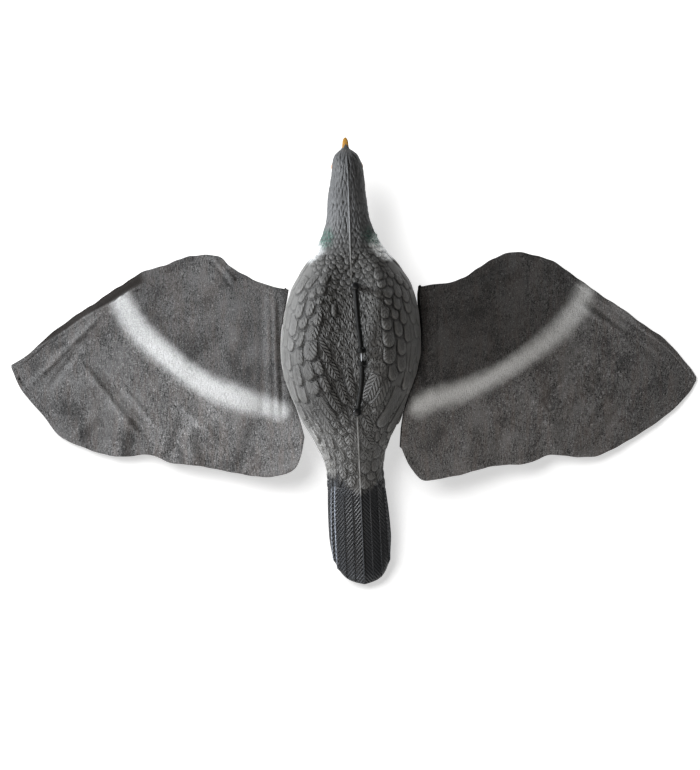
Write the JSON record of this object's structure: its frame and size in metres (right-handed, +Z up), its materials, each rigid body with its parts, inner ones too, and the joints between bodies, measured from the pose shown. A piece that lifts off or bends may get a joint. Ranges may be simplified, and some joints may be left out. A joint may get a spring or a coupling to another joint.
{
  "type": "pigeon decoy",
  "caption": "Full-body wood-pigeon decoy with spread cloth wings and a wire bail on its back, for hanging or laying out as a flying bird.",
  "frame": {"origin": "on the surface it lies on, under the middle of its overall box", "axes": "+X towards the tip of the bird's right wing, +Y towards its beak, +Z up"},
  "size_m": [0.6486, 0.4206, 0.1182],
  "materials": {
    "painted_plastic": "matt paint sprayed on blow-moulded plastic",
    "wing_cloth": "heathered plain weave with a white sprayed bar",
    "black_plastic": "moulded, semi-gloss",
    "steel_wire": "drawn bright wire"
  },
  "bodies": {
    "root": {"body": "painted_plastic", "left_wing_cloth": "wing_cloth", "right_wing_cloth": "wing_cloth", "left_wing_rib": "black_plastic", "right_wing_rib": "black_plastic", "bail_wire": "steel_wire", "bail_front_sleeve": "black_plastic", "bail_rear_sleeve": "black_plastic", "bail_front_stop": "black_plastic", "bail_rear_stop": "black_plastic", "bail_front_post": "black_plastic", "bail_rear_post": "black_plastic"}
  },
  "joints": []
}
